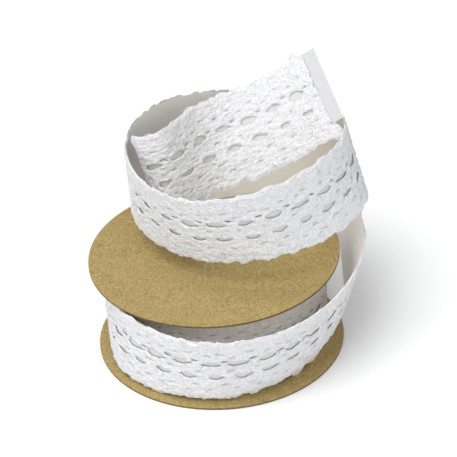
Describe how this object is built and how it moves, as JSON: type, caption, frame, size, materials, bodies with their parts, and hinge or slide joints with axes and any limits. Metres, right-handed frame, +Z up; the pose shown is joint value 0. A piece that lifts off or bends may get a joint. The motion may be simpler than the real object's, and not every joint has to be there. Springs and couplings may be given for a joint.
{
  "type": "roll of lace trim",
  "caption": "Lace tape wound on a flat kraft-board spool, its free end risen in loose turns above the spool with a backed cut end.",
  "frame": {"origin": "middle of the lower flange's underside, on the surface that it rests on", "axes": "+Z up along the spool's axis, +Y away from the viewer in the picture, +X to the right; the free end rises at +X"},
  "size_m": [0.0784, 0.0863, 0.0841],
  "materials": {
    "kraft_board": "matte, fibrous kraft board with darker flecks",
    "wound_lace": "edges of wound knitted lace",
    "lace": "fluffy white knitted lace with rows of lens-shaped holes",
    "liner": "smooth off-white release paper, slight sheen"
  },
  "bodies": {
    "root": {"flange_bottom": "kraft_board", "flange_top": "kraft_board", "wound_roll": "wound_lace", "loose_end": "lace", "liner_tab": "liner"}
  },
  "joints": []
}
